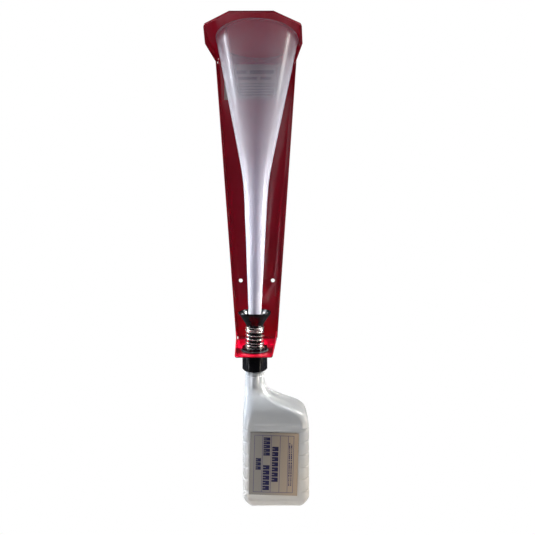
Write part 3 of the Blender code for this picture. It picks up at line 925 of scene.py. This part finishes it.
# small rows: how much shorter at each end, and bottom, in mm
SMALL_ROWS = ((0.0, -4.0), (3.0, -9.0), (1.0, -14.0), (5.0, -19.0), (12.0, -24.0))


def plate_print(tree, across, up):
    """Two lines of blocks over five lines of dashes."""
    big = [block_row(tree, across, up, *row) for row in BIG_ROWS]
    small = [fine_row(tree, across, up, -44.0 + step, 42.0 - step, z, z + 1.9)
             for step, z in SMALL_ROWS]
    return (("#25222b", together(tree, big)), ("#3a3740", together(tree, small)))


plate_vinyl = vinyl("Printed grey vinyl", PLATE_AT, 0.0, ("#c4bdb0", "#bdb6a8"),
                    plate_print)
wear(refined("bracket_label", "grey_plate_label", 0.08 * MM), "root", plate_vinyl,
     "printed_vinyl", "bracket_label")

# %% [markdown]
# ## Camera
#
# The camera stands straight in front, at the height of the station's middle and
# less than a metre away, so we look up under the hood and down on the shelf. The
# frame is shifted a little to centre the tall subject.

# %% Camera
camera_data = bpy.data.cameras.new("Camera")
camera_data.lens = 26.92
camera_data.shift_x = -0.0117
camera_data.shift_y = -0.0551
camera = bpy.data.objects.new("Camera", camera_data)
camera.location = (0.031, -0.728, 0.077)
camera.rotation_euler = (math.pi / 2, math.radians(0.15), 0.0)
bpy.context.scene.collection.objects.link(camera)
bpy.context.scene.camera = camera
bpy.context.scene.view_settings.view_transform = "Standard"

# %% [markdown]
# ## Floor and room
#
# A pale floor far below, and a white surround. The lens sees both as plain white.
# The red paint is a mirror of its room, so what lights it is kept dim apart from
# the soft boxes: that contrast is what makes candy paint look deep.

# %% Floor and room
FLOOR = -0.75
bpy.ops.object.select_all(action="DESELECT")
bpy.ops.mesh.primitive_plane_add(size=14.0, location=(0.0, 0.0, FLOOR))
floor = bpy.context.object
floor.name = "floor"


def seen_as_white(tree, shader, output):
    """Show plain white to the lens and the given shader to everything else."""
    path = tree.nodes.new("ShaderNodeLightPath").outputs["Is Camera Ray"]
    white = add(tree, "ShaderNodeEmission", Color=(1, 1, 1, 1), Strength=1.0)
    mix = add(tree, "ShaderNodeMixShader", _0=path, _1=shader, _2=white.outputs[0])
    tree.links.new(mix.outputs[0], output)


pale, pale_tree, pale_shader = new_material("Pale painted floor")
set_values(pale_shader, {"Base Color": linear("#d9d9d8"), "Roughness": 0.8})
seen_as_white(pale_tree, pale_shader.outputs[0],
              pale_tree.nodes["Material Output"].inputs["Surface"])
floor.data.materials.append(pale)

world = bpy.data.worlds.new("Studio")
bpy.context.scene.world = world
world.use_nodes = True
room = world.node_tree
room.nodes.clear()
dim = add(room, "ShaderNodeBackground", Color=linear("#c3cdf2"), Strength=0.1)
seen_as_white(room, dim.outputs[0],
              room.nodes.new("ShaderNodeOutputWorld").inputs["Surface"])


# %% [markdown]
# ## Soft boxes
#
# A tall strip on each side, level with the wall, lights the edges of the funnel; the
# plate's own flanges shade the plate, which stays dark. Narrow gridded beams pick out
# the shelf, the spout, the underside of the hood and the bottle, and one large box
# far in front fills the rest weakly.

# %% Lights
def softbox(name, location, target, size, power, colour, grid):
    """An area light aimed at a point. A grid narrows its beam, in degrees."""
    data = bpy.data.lights.new(name, "AREA")
    data.shape = "RECTANGLE"
    data.size, data.size_y = size
    data.energy = power
    data.spread = math.radians(grid)
    data.color = linear(colour)[:3]
    light = bpy.data.objects.new(name, data)
    light.location = location
    aim = Vector(target) - Vector(location)
    light.rotation_euler = aim.to_track_quat("-Z", "Y").to_euler()
    bpy.context.scene.collection.objects.link(light)


NEAR_SHELF, SHELF = (0.0, -0.05, -0.1), (0.0, -0.06, -0.1)
SPOUT, HOOD = (0.0, -0.09, 0.04), (0.0, -0.1, 0.39)
MIDDLE, BOTTLE, FOOT = (0.0, -0.08, 0.0), (0.0, -0.08, -0.23), (0.03, -0.08, -0.32)
STRIP, SPOT, TALL_SPOT, WIDE_STRIP = (0.05, 0.3), (0.06, 0.06), (0.06, 0.2), (0.3, 0.6)
OPEN = 180                                    # a box without a grid
# name, place, target, size in metres, watts, colour and beam angle
LIGHTS = (
    ("left_wing", (-0.75, -0.015, 0.45), NEAR_SHELF, STRIP, 2.9, "#eef4ff", 80),
    ("right_wing", (0.75, -0.015, 0.45), NEAR_SHELF, STRIP, 2.4, "#f6f4f0", 80),
    ("left_shelf", (-0.75, -0.03, 0.45), SHELF, SPOT, 0.055, "#ffffff", 12),
    ("right_shelf", (0.75, -0.03, 0.45), SHELF, SPOT, 0.14, "#ffffff", 10),
    ("left_spout", (-0.75, -0.065, 0.12), SPOUT, TALL_SPOT, 0.08, "#eef2ff", 16),
    ("right_spout", (0.75, -0.065, 0.12), SPOUT, TALL_SPOT, 0.07, "#f4f2ff", 16),
    ("front_fill", (-0.5, -1.8, 1.2), MIDDLE, (1.2, 1.2), 3.4, "#f4f5ff", OPEN),
    ("hood_light", (0.05, -0.8, -0.6), HOOD, (0.15, 0.15), 0.05, "#e6ecff", 14),
    ("low_front_left", (-0.65, -0.85, -0.6), FOOT, (0.3, 0.3), 0.19, "#f6f8ff", 19),
    ("low_front_right", (0.7, -0.85, -0.6), FOOT, (0.3, 0.3), 0.17, "#fff4e4", 19),
    ("low_left", (-0.9, 0.02, -0.25), BOTTLE, WIDE_STRIP, 0.3, "#f3f7ff", 40),
    ("low_right", (0.9, 0.02, -0.25), BOTTLE, WIDE_STRIP, 0.2, "#fff3e4", 40))
for light in LIGHTS:
    softbox(*light)
print("lights:", len(LIGHTS))
